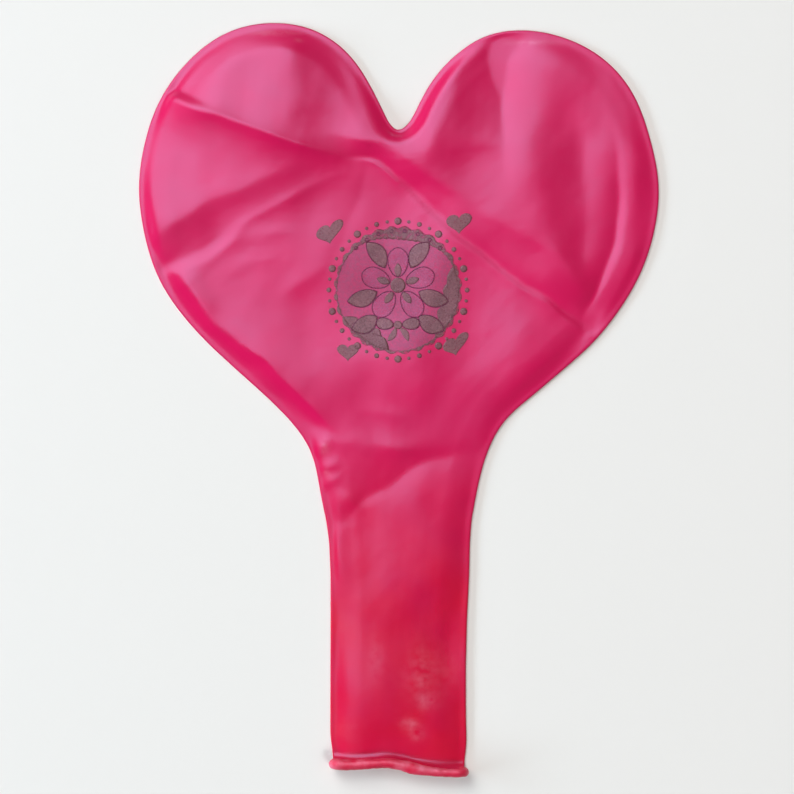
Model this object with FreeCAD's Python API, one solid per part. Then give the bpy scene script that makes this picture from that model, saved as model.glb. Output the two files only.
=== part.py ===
"""Heart-shaped latex balloon with a printed front, not inflated, lying flat on its back.

A dipped latex balloon is one rubber membrane. Laid flat it is a pouch of two walls that meet at a
folded rim, a long neck of the same two walls, and a mouth whose edge is rolled up into a bead. The
ink on the front is a set of separate thin films. Every wall, the bead and every ink film is a solid
in a node of its own.

Frame: millimetres. +Z up from the table, +Y from the mouth to the lobes, +X to the right as seen
from above. The origin is on the table, in the middle of the balloon's width and length.
"""

import FreeCAD
import Part

import math
import os

V = FreeCAD.Vector
UP = V(0, 0, 1)

# ---- driving dimensions, mm --------------------------------------------------------------------
WALL = 0.20            # thickness of one latex wall
POUCH_HEIGHT = 2.0     # top of the front wall above the table, the walls not quite touching
NECK_HEIGHT = 1.8
RIM_SLOPE = 3.0        # how far in from the folded rim the front wall reaches its full height
EDGE_SPANS = 3         # the smooth rim is cut into edges of this many spans
LIP_GAP = 0.05         # from the fold line to each body's walls

FOLD_Y = -25.2         # the fold line between pouch and neck
NECK_FLARE_Y = -31.6   # below this the neck's sides run straight
NECK_LIFT_Y = -69.0    # from here the neck climbs to the middle of the bead
MOUTH_Y = -77.98       # the bead's centre line
MOUTH_TILT = 3.4       # degrees, the mouth isn't cut square
FOLD_HALF_WIDTH = 15.4
NECK_HALF_WIDTH = 14.5
MOUTH_HALF_WIDTH = 12.7
MOUTH_SLOPE = 0.4      # the folded rims of the neck are nearly upright where they enter the bead

BEAD_RADIUS = 1.05     # the rolled edge's own radius
BEAD_OFFSET = 1.35     # from the mouth's middle plane to the centre of each strand
BEAD_HALF_LENGTH = 12.4  # of the straight strands
MOUTH_Z = BEAD_OFFSET + BEAD_RADIUS

# The rim, from the left end of the fold line over both lobes to its right end.
LEFT_SIDE = [(-16.8, -18.4), (-18.6, -11.0), (-25.1, -2.1), (-39.4, 11.1), (-45.6, 17.8),
             (-50.8, 25.8), (-54.0, 35.9), (-55.0, 45.0), (-53.9, 53.9), (-50.6, 63.4)]
LEFT_LOBE = [(-44.7, 71.6), (-36.5, 77.7), (-26.4, 79.85), (-17.0, 77.9), (-10.5, 73.1),
             (-6.1, 66.7), (-3.0, 60.5)]
CLEFT = [(-1.7, 58.2), (-0.2, 57.1), (1.7, 58.2)]
RIGHT_LOBE = [(3.9, 61.9), (7.1, 67.6), (12.1, 73.1), (18.6, 77.1), (26.2, 78.3), (35.3, 76.6),
              (43.1, 72.4), (49.2, 65.5)]
RIGHT_SIDE = [(53.0, 56.0), (55.0, 45.0), (54.1, 36.0), (51.1, 26.8), (46.3, 18.6), (40.6, 11.7),
              (34.7, 6.4), (27.7, 0.5), (22.4, -4.4), (19.1, -10.1), (17.1, -16.6)]

INK = 0.06             # thickness of one ink film
PRINT_X = -0.2         # centre of the print
PRINT_Y = 23.3
TINT_RADIUS = 13.2     # disc of thin tint under the drawing
LACE_INNER = 11.6      # frame round the drawing
LACE_OUTER = 13.1
LACE_SCALLOP = 0.7
LACE_LOBES = 28
PEARL_RING = 14.6      # radius of the ring of dots
PEARL_RADII = [0.75, 0.35, 0.5, 0.35]
PEARL_COUNT = 40
PEARL_MARGIN = 0.4     # from a dot to the nearest corner heart
CORNER_HEARTS = {      # name: (x, y) from the print's centre, size, turn in degrees
    "upper_left": (-14.4, 11.9, 5.0, 28.0),
    "upper_right": (12.9, 13.9, 4.8, 8.0),
    "lower_left": (-10.6, -13.3, 4.0, 0.0),
    "lower_right": (12.2, -11.8, 4.8, 30.0),
}
FLOWER_Y = 1.0         # the flower's centre from the print's centre
CENTRE_RADIUS = 1.6
PETAL_COUNT = 5
PETAL_START = 2.0      # from the flower's centre to the petal's root
PETAL_LENGTH = 5.6
PETAL_WIDTH = 4.0
LEAF_WIDTH = 2.7
LEAF_START = 5.2       # from the flower's centre to the root of a leaf between two petals
LEAF_LENGTH = 5.0
LEAF_TURNS = [54.0, 126.0, 198.0, 342.0]
LOW_LEAF_X = 5.4       # root of the leaf beside each loop of the bow
LOW_LEAF_Y = -6.8
LOW_LEAF_TURN = 20.0
BOW_Y = -7.4           # the bow's knot
KNOT_RADIUS = 0.9
LOOP_START = 1.1       # from the knot's centre to the root of each loop
LOOP_LENGTH = 3.6
LOOP_WIDTH = 2.4
LOOP_TURN = 8.0


# ---- helpers -----------------------------------------------------------------------------------
def rim_spline(points, z):
    """A smooth curve through the points, at one height."""
    curve = Part.BSplineCurve()
    curve.interpolate([V(x, y, z) for x, y in points])
    return curve


def short_edges(curve, points, z):
    """The curve cut into edges of a few points each, so that every edge stays simple."""
    cuts = [points[i] for i in range(0, len(points) - 2, EDGE_SPANS)] + [points[-1]]
    stops = [curve.parameter(V(x, y, z)) for x, y in cuts]
    return [curve.toShape(low, high) for low, high in zip(stops, stops[1:])]


def inset(points, distance):
    """The rim's points moved inwards, square to the smooth rim through them."""
    curve = rim_spline(points, 0.0)
    moved = []
    for x, y in points:
        here = V(x, y, 0)
        along = curve.tangent(curve.parameter(here))[0]
        inwards = along.cross(UP)
        there = here + inwards * distance
        moved.append((there.x, there.y))
    return moved


def pouch_wire(distance, z, end_y):
    """Closed outline of the pouch, moved in by distance, ending square on the line y = end_y."""
    sides = [(-FOLD_HALF_WIDTH, FOLD_Y)] + LEFT_SIDE + LEFT_LOBE + CLEFT + RIGHT_LOBE + RIGHT_SIDE
    sides = sides + [(FOLD_HALF_WIDTH, FOLD_Y)]
    points = inset(sides, distance) if distance else sides
    half = FOLD_HALF_WIDTH - distance
    points = [(-half, end_y)] + points[1:-1] + [(half, end_y)]
    edges = short_edges(rim_spline(points, z), points, z)
    closing = Part.makeLine(V(half, end_y, z), V(-half, end_y, z))
    return Part.Wire(edges + [closing])


def ruled_solid(wires):
    return Part.makeLoft(wires, True, True)


def polygon_at(y, corners, tilt):
    """Closed polygon of (x, z) corners standing across the neck at y, turned by tilt about +Z."""
    lean = math.tan(math.radians(tilt))
    points = [V(x, y - lean * x, z) for x, z in corners]
    return Part.makePolygon(points + points[:1])


def export(name, shape):
    shape.exportStep("parts/%s.step" % name)
    print("%-26s %8.2f mm3 %s %d solids" % (name, shape.Volume, shape.isValid(), len(shape.Solids)))


# ---- pouch -------------------------------------------------------------------------------------
def heart_back_wall():
    """The wall that lies on the table, out to the folded rim."""
    face = Part.Face(pouch_wire(0.0, 0.0, FOLD_Y + LIP_GAP))
    return face.extrude(V(0, 0, WALL))


def heart_front_wall():
    """The printed wall: from the rim up to a flat top, open at the fold line and underneath."""
    end = FOLD_Y + LIP_GAP
    outer = ruled_solid([pouch_wire(0.0, WALL, end), pouch_wire(RIM_SLOPE, POUCH_HEIGHT, end)])
    past, roof = FOLD_Y - 1.0, POUCH_HEIGHT - WALL
    hollow = ruled_solid([pouch_wire(WALL, WALL, past), pouch_wire(RIM_SLOPE + 0.1, roof, past)])
    return outer.cut(hollow)


# ---- neck --------------------------------------------------------------------------------------
def neck_stations():
    """(y, half width, bottom, top, side slope, tilt) of the neck from the fold line to the mouth."""
    lip = BEAD_OFFSET - BEAD_RADIUS
    return [
        (FOLD_Y - LIP_GAP, FOLD_HALF_WIDTH, 0.0, POUCH_HEIGHT, RIM_SLOPE, 0.0),
        (NECK_FLARE_Y, NECK_HALF_WIDTH, 0.0, NECK_HEIGHT, RIM_SLOPE, 0.0),
        (NECK_LIFT_Y, NECK_HALF_WIDTH, 0.0, NECK_HEIGHT, RIM_SLOPE, 0.0),
        (MOUTH_Y, MOUTH_HALF_WIDTH, MOUTH_Z - lip, MOUTH_Z + lip, MOUTH_SLOPE, MOUTH_TILT),
    ]


def neck_back_wall():
    """The lower wall, flat on the table until it climbs into the bead."""
    sections = []
    for y, half, bottom, _, _, tilt in neck_stations():
        corners = [(-half, bottom), (half, bottom), (half, bottom + WALL), (-half, bottom + WALL)]
        sections.append(polygon_at(y, corners, tilt))
    return ruled_solid(sections)


def neck_front_wall():
    """The upper wall: a shallow channel upside down, whose sides are the folded rims."""
    sections = []
    for y, half, bottom, top, slope, tilt in neck_stations():
        foot, roof, inner = bottom + WALL, top - WALL, half - WALL
        outside = [(-half, foot), (slope - half, top), (half - slope, top), (half, foot)]
        inside = [(inner, foot), (inner - slope, roof), (slope - inner, roof), (-inner, foot)]
        sections.append(polygon_at(y, outside + inside, tilt))
    return ruled_solid(sections)


def rolled_bead():
    """The rolled lip: a round cord bent into a closed flat loop, one strand over the other."""
    def disc(x, z, normal):
        return Part.Face(Part.Wire(Part.makeCircle(BEAD_RADIUS, V(x, 0, z), normal)))

    length = 2 * BEAD_HALF_LENGTH
    pieces = []
    for side in (-1, 1):
        strand = disc(-BEAD_HALF_LENGTH, side * BEAD_OFFSET, V(1, 0, 0))
        pieces.append(strand.extrude(V(length, 0, 0)))
        end = disc(side * BEAD_HALF_LENGTH, BEAD_OFFSET, V(1, 0, 0))
        pieces.append(end.revolve(V(side * BEAD_HALF_LENGTH, 0, 0), V(0, side, 0), 180.0))
    bead = pieces[0].fuse(pieces[1:]).removeSplitter()
    bead.rotate(V(0, 0, 0), UP, -MOUTH_TILT)
    bead.translate(V(0, MOUTH_Y, MOUTH_Z))
    return bead


# ---- print -------------------------------------------------------------------------------------
def film(wire, level, hole=None):
    """An ink film INK thick on the front wall, level 0 on the latex and level 1 on the tint."""
    face = Part.Face(wire)
    if hole:
        face = face.cut(Part.Face(hole))
    solid = face.extrude(V(0, 0, INK))
    solid.translate(V(PRINT_X, PRINT_Y, POUCH_HEIGHT + level * INK))
    return solid


def circle(x, y, radius):
    return Part.Wire(Part.makeCircle(radius, V(x, y, 0)))


def heart_wire(x, y, size, turn):
    """A small plain heart of two arcs a side, size mm across."""
    s = size / 2.0
    def lobe(sign):
        arc = Part.Arc(V(0, 0.62 * s, 0), V(sign * 0.62 * s, 0.95 * s, 0), V(sign * s, 0.3 * s, 0))
        side = Part.Arc(V(sign * s, 0.3 * s, 0), V(sign * 0.66 * s, -0.42 * s, 0), V(0, -0.95 * s, 0))
        return [arc.toShape(), side.toShape()]
    left, right = lobe(-1), lobe(1)
    wire = Part.Wire([right[0], right[1], left[1], left[0]])
    wire.rotate(V(0, 0, 0), UP, turn)
    wire.translate(V(x, y, 0))
    return wire


def almond_wire(x, y, length, width, turn):
    """A pointed leaf or petal of two arcs, from its root at (x, y)."""
    root, tip, half = V(0, 0, 0), V(length, 0, 0), width / 2.0
    upper = Part.Arc(root, V(length / 2.0, half, 0), tip).toShape()
    lower = Part.Arc(tip, V(length / 2.0, -half, 0), root).toShape()
    wire = Part.Wire([upper, lower])
    wire.rotate(V(0, 0, 0), UP, turn)
    wire.translate(V(x, y, 0))
    return wire


def scalloped_wire(radius, depth, lobes):
    """A ring of small arcs that bulge outwards by depth."""
    edges = []
    step = 2 * math.pi / lobes
    for i in range(lobes):
        angles = (i * step, (i + 0.5) * step, (i + 1) * step)
        reach = (radius, radius + depth, radius)
        ends = [V(r * math.cos(a), r * math.sin(a), 0) for a, r in zip(angles, reach)]
        edges.append(Part.Arc(*ends).toShape())
    return Part.Wire(edges)


def pearl_ring():
    """Dots of a few sizes round the lace, clear of the corner hearts."""
    dots = []
    for i in range(PEARL_COUNT):
        angle = 2 * math.pi * i / PEARL_COUNT
        x, y = PEARL_RING * math.cos(angle), PEARL_RING * math.sin(angle)
        radius = PEARL_RADII[i % len(PEARL_RADII)]
        room = min(math.hypot(x - hx, y - hy) - size / 2.0 for hx, hy, size, _ in CORNER_HEARTS.values())
        if room > radius + PEARL_MARGIN:
            dots.append(film(circle(x, y, radius), 0))
    return Part.makeCompound(dots)


def around_flower(turn, distance):
    """The point at a distance from the flower's centre, turn degrees from +X."""
    angle = math.radians(turn)
    return distance * math.cos(angle), FLOWER_Y + distance * math.sin(angle)


def flower_petals():
    petals = []
    for i in range(PETAL_COUNT):
        turn = 90.0 + 360.0 * i / PETAL_COUNT
        x, y = around_flower(turn, PETAL_START)
        petals.append(film(almond_wire(x, y, PETAL_LENGTH, PETAL_WIDTH, turn), 1))
    return Part.makeCompound(petals)


def leaves():
    """Four leaves between the petals, and one beside each loop of the bow."""
    places = [around_flower(turn, LEAF_START) + (turn,) for turn in LEAF_TURNS]
    places += [(LOW_LEAF_X, LOW_LEAF_Y, LOW_LEAF_TURN), (-LOW_LEAF_X, LOW_LEAF_Y, 180.0 - LOW_LEAF_TURN)]
    return Part.makeCompound([film(almond_wire(x, y, LEAF_LENGTH, LEAF_WIDTH, turn), 1)
                              for x, y, turn in places])


def ribbon_bow():
    """Two loops that point outwards from a round knot."""
    figures = [film(circle(0, BOW_Y, KNOT_RADIUS), 1)]
    for side, turn in ((1, LOOP_TURN), (-1, 180.0 - LOOP_TURN)):
        figures.append(film(almond_wire(side * LOOP_START, BOW_Y, LOOP_LENGTH, LOOP_WIDTH, turn), 1))
    return Part.makeCompound(figures)


def main():
    os.makedirs("parts", exist_ok=True)
    export("heart_back_wall", heart_back_wall())
    export("heart_front_wall", heart_front_wall())
    export("neck_back_wall", neck_back_wall())
    export("neck_front_wall", neck_front_wall())
    export("rolled_bead", rolled_bead())
    export("print_tint_disc", film(circle(0, 0, TINT_RADIUS), 0))
    lace = scalloped_wire(LACE_OUTER - LACE_SCALLOP, LACE_SCALLOP, LACE_LOBES)
    export("print_lace_frame", film(lace, 1, circle(0, 0, LACE_INNER)))
    export("print_pearl_ring", pearl_ring())
    for name, (x, y, size, turn) in CORNER_HEARTS.items():
        export("print_heart_" + name, film(heart_wire(x, y, size, turn), 0))
    export("print_flower_petals", flower_petals())
    export("print_flower_centre", film(circle(0, FLOWER_Y, CENTRE_RADIUS), 1))
    export("print_leaves", leaves())
    export("print_ribbon_bow", ribbon_bow())


main()
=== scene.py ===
# %% [markdown]
# A heart-shaped latex balloon, lying flat before it is blown up. The real one is a single rubber
# membrane, dipped on a former, so flat it is a pouch of two walls that meet at a folded rim. A long
# neck ends in a rolled lip, and a round design is printed on the front.
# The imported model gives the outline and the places. Everything seen here is a smooth surface worked
# out on a grid and laid in those places, because folds, puckers and ink need more than flat walls.

# %% Load the model
import math
import bmesh
import bpy
import numpy as np
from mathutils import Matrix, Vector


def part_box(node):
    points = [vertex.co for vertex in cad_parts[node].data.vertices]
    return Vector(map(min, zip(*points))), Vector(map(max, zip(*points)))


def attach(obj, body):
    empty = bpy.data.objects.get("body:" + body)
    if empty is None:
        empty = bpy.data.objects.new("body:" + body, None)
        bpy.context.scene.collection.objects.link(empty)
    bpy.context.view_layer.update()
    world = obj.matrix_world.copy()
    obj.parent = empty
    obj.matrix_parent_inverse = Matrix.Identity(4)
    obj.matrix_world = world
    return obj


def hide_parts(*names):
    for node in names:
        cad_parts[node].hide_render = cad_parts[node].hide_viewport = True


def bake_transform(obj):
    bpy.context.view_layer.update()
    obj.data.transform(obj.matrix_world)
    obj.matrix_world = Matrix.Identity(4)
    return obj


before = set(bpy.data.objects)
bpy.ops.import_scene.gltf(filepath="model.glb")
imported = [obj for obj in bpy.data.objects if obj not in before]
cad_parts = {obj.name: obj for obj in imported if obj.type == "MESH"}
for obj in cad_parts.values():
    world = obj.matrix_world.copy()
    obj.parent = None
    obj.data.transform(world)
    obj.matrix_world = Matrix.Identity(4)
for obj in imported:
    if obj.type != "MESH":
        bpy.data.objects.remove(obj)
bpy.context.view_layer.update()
MM = 0.001

# %% [markdown]
# The camera looks straight down on the balloon, with the lobes at the top. A longish lens keeps the
# flat film free of perspective. Its height follows from how much of the table it has to take in.

# %% Camera
VIEW_WIDTH = 167.6          # width of the table in view, mm
LENS = 120.0
SENSOR = 36.0
FILM_TOP = 1.6              # the height that the camera is focused and measured on, mm

camera_data = bpy.data.cameras.new("camera")
camera_data.lens = LENS
camera_data.sensor_width = SENSOR
camera_data.clip_start = 0.01
camera = bpy.data.objects.new("camera", camera_data)
camera_height = VIEW_WIDTH * LENS / SENSOR + FILM_TOP
camera.location = (-0.4 * MM, 0.7 * MM, camera_height * MM)
bpy.context.scene.collection.objects.link(camera)
bpy.context.scene.camera = camera
bpy.context.scene.view_settings.view_transform = "Standard"
print("camera height in mm:", round(camera_height, 1))

# %% [markdown]
# Pearl latex shows its folds only by what it mirrors. A soft panel stands half a metre away, up and to
# the left, and only reflections see it. Its near edge is almost overhead, so film that lies flat
# mirrors part of it, and the smallest tilt goes bright or dark. Being near, it fades towards the neck.
# Four room lamps give the even light and the table's shadows. They stand away from the mirror
# direction, because some of their light reaches a rough reflection even when it is told not to.

# %% Light and table
def area_light(name, place, target, size, power, colour):
    """A rectangular lamp at place that faces target; lengths are in mm and power in watts."""
    data = bpy.data.lights.new(name, "AREA")
    data.shape = "RECTANGLE"
    data.size, data.size_y = size[0] * MM, size[1] * MM
    data.energy = power
    data.color = colour
    lamp = bpy.data.objects.new(name, data)
    start = np.array(place, float)
    look = np.array(target, float) - start
    lamp.location = start * MM
    azimuth = math.atan2(look[0], -look[1])
    tilt = math.acos(-look[2] / np.linalg.norm(look))
    lamp.rotation_euler = (tilt, 0.0, azimuth + math.pi)
    bpy.context.scene.collection.objects.link(lamp)
    return lamp


ROOM_LAMPS = [
    ("window_light", (-848.0, 1131.0, 1414.0), (0.0, 0.0, 0.0), (1400.0, 1400.0), 33.0, (1.0, 0.975, 0.95)),
    ("low_left_lamp", (-1400.0, -120.0, 330.0), (0.0, -10.0, 0.0), (900.0, 260.0), 24.0,
     (0.76, 0.97, 1.08)),
    ("ceiling_lamp", (700.0, -930.0, 1660.0), (0.0, 0.0, 0.0), (600.0, 600.0), 14.0, (1.0, 0.96, 0.92)),
    ("right_fill", (620.0, -220.0, 520.0), (20.0, 0.0, 0.0), (400.0, 400.0), 0.7, (1.0, 0.92, 0.84)),
]
for settings in ROOM_LAMPS:
    area_light(*settings).visible_glossy = False
sheen_panel = area_light("sheen_panel", (-152.7, 203.6, 430.4), (0.0, 0.0, 0.0), (488.0, 488.0), 2.25,
                         (1.0, 0.99, 0.98))
sheen_panel.visible_camera = False
sheen_panel.visible_diffuse = False
print("room lamps:", len(ROOM_LAMPS), "and one panel for the sheen")

world = bpy.data.worlds.new("room")
world.use_nodes = True
world.node_tree.nodes["Background"].inputs["Color"].default_value = (1.0, 0.95, 0.92, 1.0)
world.node_tree.nodes["Background"].inputs["Strength"].default_value = 0.055
bpy.context.scene.world = world

# %% [markdown]
# The table is only a stage: a pale, plain board far wider than the view.

# %% Table
TABLE_HALF = 1500.0

table_mesh = bpy.data.meshes.new("table")
corners = [(-1, -1), (1, -1), (1, 1), (-1, 1)]
table_mesh.from_pydata([(x * TABLE_HALF * MM, y * TABLE_HALF * MM, 0.0) for x, y in corners], [],
                       [(0, 1, 2, 3)])
table = bpy.data.objects.new("table", table_mesh)
bpy.context.scene.collection.objects.link(table)
table_paint = bpy.data.materials.new("table_paint")
table_paint.use_nodes = True
paint = table_paint.node_tree.nodes["Principled BSDF"]
paint.inputs["Base Color"].default_value = (0.785, 0.78, 0.775, 1.0)
paint.inputs["Roughness"].default_value = 0.75
table_mesh.materials.append(table_paint)
print("table half width in mm:", TABLE_HALF)

# %% [markdown]
# A few shaping tools come first. Each takes and gives whole arrays.

# %% Shaping tools
def ease(t):
    """0 below 0, 1 above 1, and the smooth step 3t² - 2t³ between."""
    t = np.clip(t, 0.0, 1.0)
    return t * t * (3.0 - 2.0 * t)


def waves(x, y, length, seed, count=14):
    """Soft even noise: the mean of cosines of about one wavelength that run in random directions."""
    rng = np.random.default_rng(seed)
    turn = rng.uniform(0, 2 * np.pi, count)
    size = 2 * np.pi / (length * rng.uniform(0.7, 1.5, count))
    phase = rng.uniform(0, 2 * np.pi, count)
    along = x[..., None] * np.cos(turn) + y[..., None] * np.sin(turn)
    return np.cos(along * size + phase).sum(-1) / math.sqrt(count / 2)


def soften(points, step, blur):
    """A line walked again in even steps, then smoothed by a bell-shaped average blur long (ends kept)."""
    gaps = np.hypot(*np.diff(points, axis=0).T)
    walked = np.concatenate([[0.0], np.cumsum(gaps)])
    even = np.linspace(0.0, walked[-1], int(walked[-1] / step) + 1)
    line = np.stack([np.interp(even, walked, points[:, k]) for k in range(points.shape[1])], axis=1)
    reach = int(3 * blur / step) + 1
    bell = np.exp(-0.5 * (np.arange(-reach, reach + 1) * step / blur) ** 2)
    bell /= bell.sum()
    first, last = line[:1], line[-1:]
    padded = np.concatenate([2 * first - line[reach:0:-1], line, 2 * last - line[-2:-reach - 2:-1]])
    return np.stack([np.convolve(padded[:, k], bell, mode="valid") for k in range(line.shape[1])], axis=1)


def walk(line, shares):
    """Points at the given shares of a line's length."""
    walked = np.concatenate([[0.0], np.cumsum(np.hypot(*np.diff(line, axis=0).T))])
    return np.stack([np.interp(shares * walked[-1], walked, line[:, k]) for k in range(2)], axis=1)


# %% [markdown]
# The rim of the heart is read off the back wall in the model, whose corners all lie on its outline.
# Seen from a point inside the heart each has its own bearing, so sorting by bearing puts them in
# order. The neck's sides are listed, because they are straighter than the model's at the lip.

# %% The outline of the film
HEART_MIDDLE = (0.0, 20.0)
NECK_ROOT_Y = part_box("heart_back_wall")[0].y / MM
MOUTH_Y = -77.9
LEFT_NECK = [(-15.4, -25.3), (-14.75, -30.0), (-14.45, -37.0), (-14.45, -50.0), (-14.5, -62.0),
             (-14.5, -72.0), (-14.0, -76.0), (-13.9, MOUTH_Y)]
RIGHT_NECK = [(15.4, -25.3), (15.05, -30.0), (14.9, -37.0), (14.45, -46.0), (14.2, -56.0),
              (14.2, -66.0), (14.35, -72.0), (13.9, -76.0), (13.8, MOUTH_Y)]

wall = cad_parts["heart_back_wall"].data
spots = np.zeros(len(wall.vertices) * 3, np.float32)
wall.vertices.foreach_get("co", spots)
spots = spots.reshape(-1, 3).astype(float) / MM
low = np.unique(np.round(spots[spots[:, 2] < 0.02][:, :2], 3), axis=0)
bearing = np.arctan2(low[:, 0] - HEART_MIDDLE[0], low[:, 1] - HEART_MIDDLE[1])
low = low[np.argsort(bearing)]
low = low[low[:, 1] > NECK_ROOT_Y + 0.5]
whole = np.concatenate([np.array(LEFT_NECK)[::-1], low, np.array(RIGHT_NECK)])
OUTLINE = soften(whole, 0.25, 0.7)
middle_half = (np.abs(OUTLINE[:, 0]) < 8.0) & (OUTLINE[:, 1] > 40.0)
cleft_index = np.flatnonzero(middle_half)[np.argmin(OUTLINE[middle_half][:, 1])]
LEFT_HALF, RIGHT_HALF = OUTLINE[cleft_index::-1], OUTLINE[cleft_index:]
print("outline points:", len(OUTLINE), "cleft at", OUTLINE[cleft_index].round(2))

# %% [markdown]
# The film is one grid, like a sheet of squared paper. Its rows run from the left rim to the right rim
# and its first row is folded in two at the bottom of the cleft. In the neck the rows lie straight
# across; in the heart they fan round each lobe. Close to the rim the columns keep a set distance from
# it, which gives the folded edge the fine mesh that its small round needs. Just under the cleft the
# two fans crowd together and some slivers of cells turn over; the cell prints how many.

# %% The grid of the film
HEART_ROWS, NECK_ROWS = 300, 92
RIM_STEPS = np.array([0.0, 0.1, 0.22, 0.36, 0.52, 0.7, 0.9, 1.15, 1.5, 1.95, 2.5, 3.2, 4.0, 5.0])
INNER_STEPS = 80
BACK_RIM_STEPS = np.array([0.0, 0.1, 0.25, 0.5, 0.9, 2.0, 5.0])
BACK_INNER_STEPS = 8
MIDLINE = [(0.0, 51.0), (0.12, 46.5), (0.25, 42.0), (0.4, 37.0), (0.55, 31.0), (0.7, 17.0), (0.82, 2.0),
           (0.92, -13.0), (1.0, -25.4)]


def row_shares():
    """Where the rows meet the rim: shares of each half's rim, finer by the tight bend of the cleft."""
    heart = np.linspace(0.0, 1.0, HEART_ROWS + 1)
    heart = 0.45 * heart + 0.55 * heart ** 1.4
    return heart, np.linspace(0.0, 1.0, NECK_ROWS + 1)[1:]


def rim_points(half):
    """The rim of one half at every row, heart first and then neck."""
    heart_shares, neck_shares = row_shares()
    root = np.flatnonzero((half[:, 1] < NECK_ROOT_Y))[0]
    return np.concatenate([walk(half[:root + 1], heart_shares), walk(half[root:], neck_shares)])


def inwards(rim, sign):
    """Unit arrows from the rim into the film, square to the rim."""
    ahead = np.gradient(rim, axis=0)
    ahead[0] = (sign, 0.0)
    ahead /= np.hypot(*ahead.T)[:, None]
    return sign * np.stack([ahead[:, 1], -ahead[:, 0]], axis=1)


def midline_points(rim_left, rim_right):
    """The row's point on the balloon's middle line, from under the cleft down to the mouth."""
    heart_shares, _ = row_shares()
    shares, heights = np.array(MIDLINE).T
    y = np.interp(heart_shares, shares, heights)
    bell = np.exp(-0.5 * (np.arange(-24, 25) / 9.0) ** 2)
    padded = np.concatenate([2 * y[0] - y[24:0:-1], y, 2 * y[-1] - y[-2:-26:-1]])
    y = np.convolve(padded, bell / bell.sum(), mode="valid")
    y = np.concatenate([y, (rim_left[HEART_ROWS + 1:, 1] + rim_right[HEART_ROWS + 1:, 1]) / 2])
    return np.stack([np.full(len(y), OUTLINE[cleft_index, 0]) * ease((y + 30) / 60), y], axis=1)


def rim_distance(points):
    """The distance from each point to the nearest point of the outline, worked out a few rows at a time."""
    flat = points.reshape(-1, 2)
    coarse = OUTLINE[None, ::2]
    blocks = np.array_split(flat, 60)
    near = [np.sqrt(((block[:, None] - coarse) ** 2).sum(-1).min(1)) for block in blocks]
    return np.concatenate(near).reshape(points.shape[:-1])


def film_grid(rim_steps, inner_steps):
    """Grid points (rows, columns, 2) in mm, and each point's distance from the rim.

    Left of the middle line a point is the rim point moved inwards by its step. Past the last step the
    row goes on inwards and bends to the middle line: (1-t)² · end + 2t(1-t) · bend + t² · middle, where
    the bend lies straight inwards from the end. The right is the same, mirrored.
    """
    rim = [rim_points(LEFT_HALF), rim_points(RIGHT_HALF)]
    middle = midline_points(*rim)
    shares = np.linspace(0.0, 1.0, inner_steps + 1)[1:, None, None]
    sides, depths = [], []
    for half, sign in zip(rim, (-1, 1)):
        band = half[None] + inwards(half, sign)[None] * rim_steps[:, None, None]
        if sign < 0:
            middle[0] = band[-1, 0]
        reach = np.linalg.norm(middle - band[-1], axis=-1)[:, None]
        bend = band[-1] + inwards(half, sign) * reach * 0.42
        inner = band[-1] * (1 - shares) ** 2 + bend * 2 * shares * (1 - shares) + middle * shares ** 2
        sides.append(np.concatenate([band, inner]))
        depths.append(np.concatenate([rim_steps[:, None] * np.ones(len(half)), rim_distance(inner)]))
    points = np.concatenate([sides[0], sides[1][-2::-1]]).transpose(1, 0, 2)
    depth = np.concatenate([depths[0], depths[1][-2::-1]]).T
    return points, depth


front_points, front_depth = film_grid(RIM_STEPS, INNER_STEPS)
back_points, back_depth = film_grid(BACK_RIM_STEPS, BACK_INNER_STEPS)
across, down = np.diff(front_points, axis=1)[:-1], np.diff(front_points, axis=0)[:, :-1]
areas = across[..., 0] * down[..., 1] - across[..., 1] * down[..., 0]
print("front grid:", front_points.shape, "back grid:", back_points.shape, "cells turned over:",
      int((areas[1:] > 0).sum()), "of", areas.size)

# %% [markdown]
# The folds are what makes flat latex look like latex. Each is a line on the film with a height and
# two widths: how far it runs out on its left and on its right, going along the line. A narrow side is
# steep and mirrors the panel or the dark room; a wide side is a gentle slope. Negative heights are
# valleys. The lines are placed where a balloon that came out of a bag keeps its creases.

# %% One fold
def fold(x, y, line, height, left, right, crest=0.5, fade=(0.5, 0.5)):
    """height · exp(-(distance from the line) / width), rounded over crest mm at the top.

    The width goes smoothly from left to right across the line, and the height fades in and out over
    the given shares of the line's length. Both are averaged over the line's near pieces, weighted by
    exp(-extra distance / 0.8), so that nothing jumps on the inner side of a bend.
    """
    path = soften(np.array(line, float), 1.0, 1.6)
    a, b = path[:-1], path[1:]
    along = b - a
    length = np.hypot(*along.T)
    fx, fy = x.ravel()[:, None] - a[:, 0], y.ravel()[:, None] - a[:, 1]
    place = np.clip((fx * along[:, 0] + fy * along[:, 1]) / length ** 2, 0.0, 1.0)
    away = np.hypot(fx - place * along[:, 0], fy - place * along[:, 1])
    distance = away.min(axis=1)
    weight = np.exp((distance[:, None] - away) / 0.8)
    weight /= weight.sum(axis=1)[:, None]
    side = (weight * (along[:, 0] * fy - along[:, 1] * fx) / length).sum(axis=1)
    lean = side / np.sqrt(side ** 2 + 0.6 ** 2)
    share = (weight * (np.arange(len(a)) + place)).sum(axis=1) / len(a)
    width = (left + right) / 2 + (left - right) / 2 * lean
    strength = ease(share / fade[0]) * ease((1.0 - share) / fade[1])
    fall = np.exp(-(np.sqrt(distance ** 2 + crest ** 2) - crest) / width)
    return (height * strength * fall).reshape(x.shape)


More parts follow.
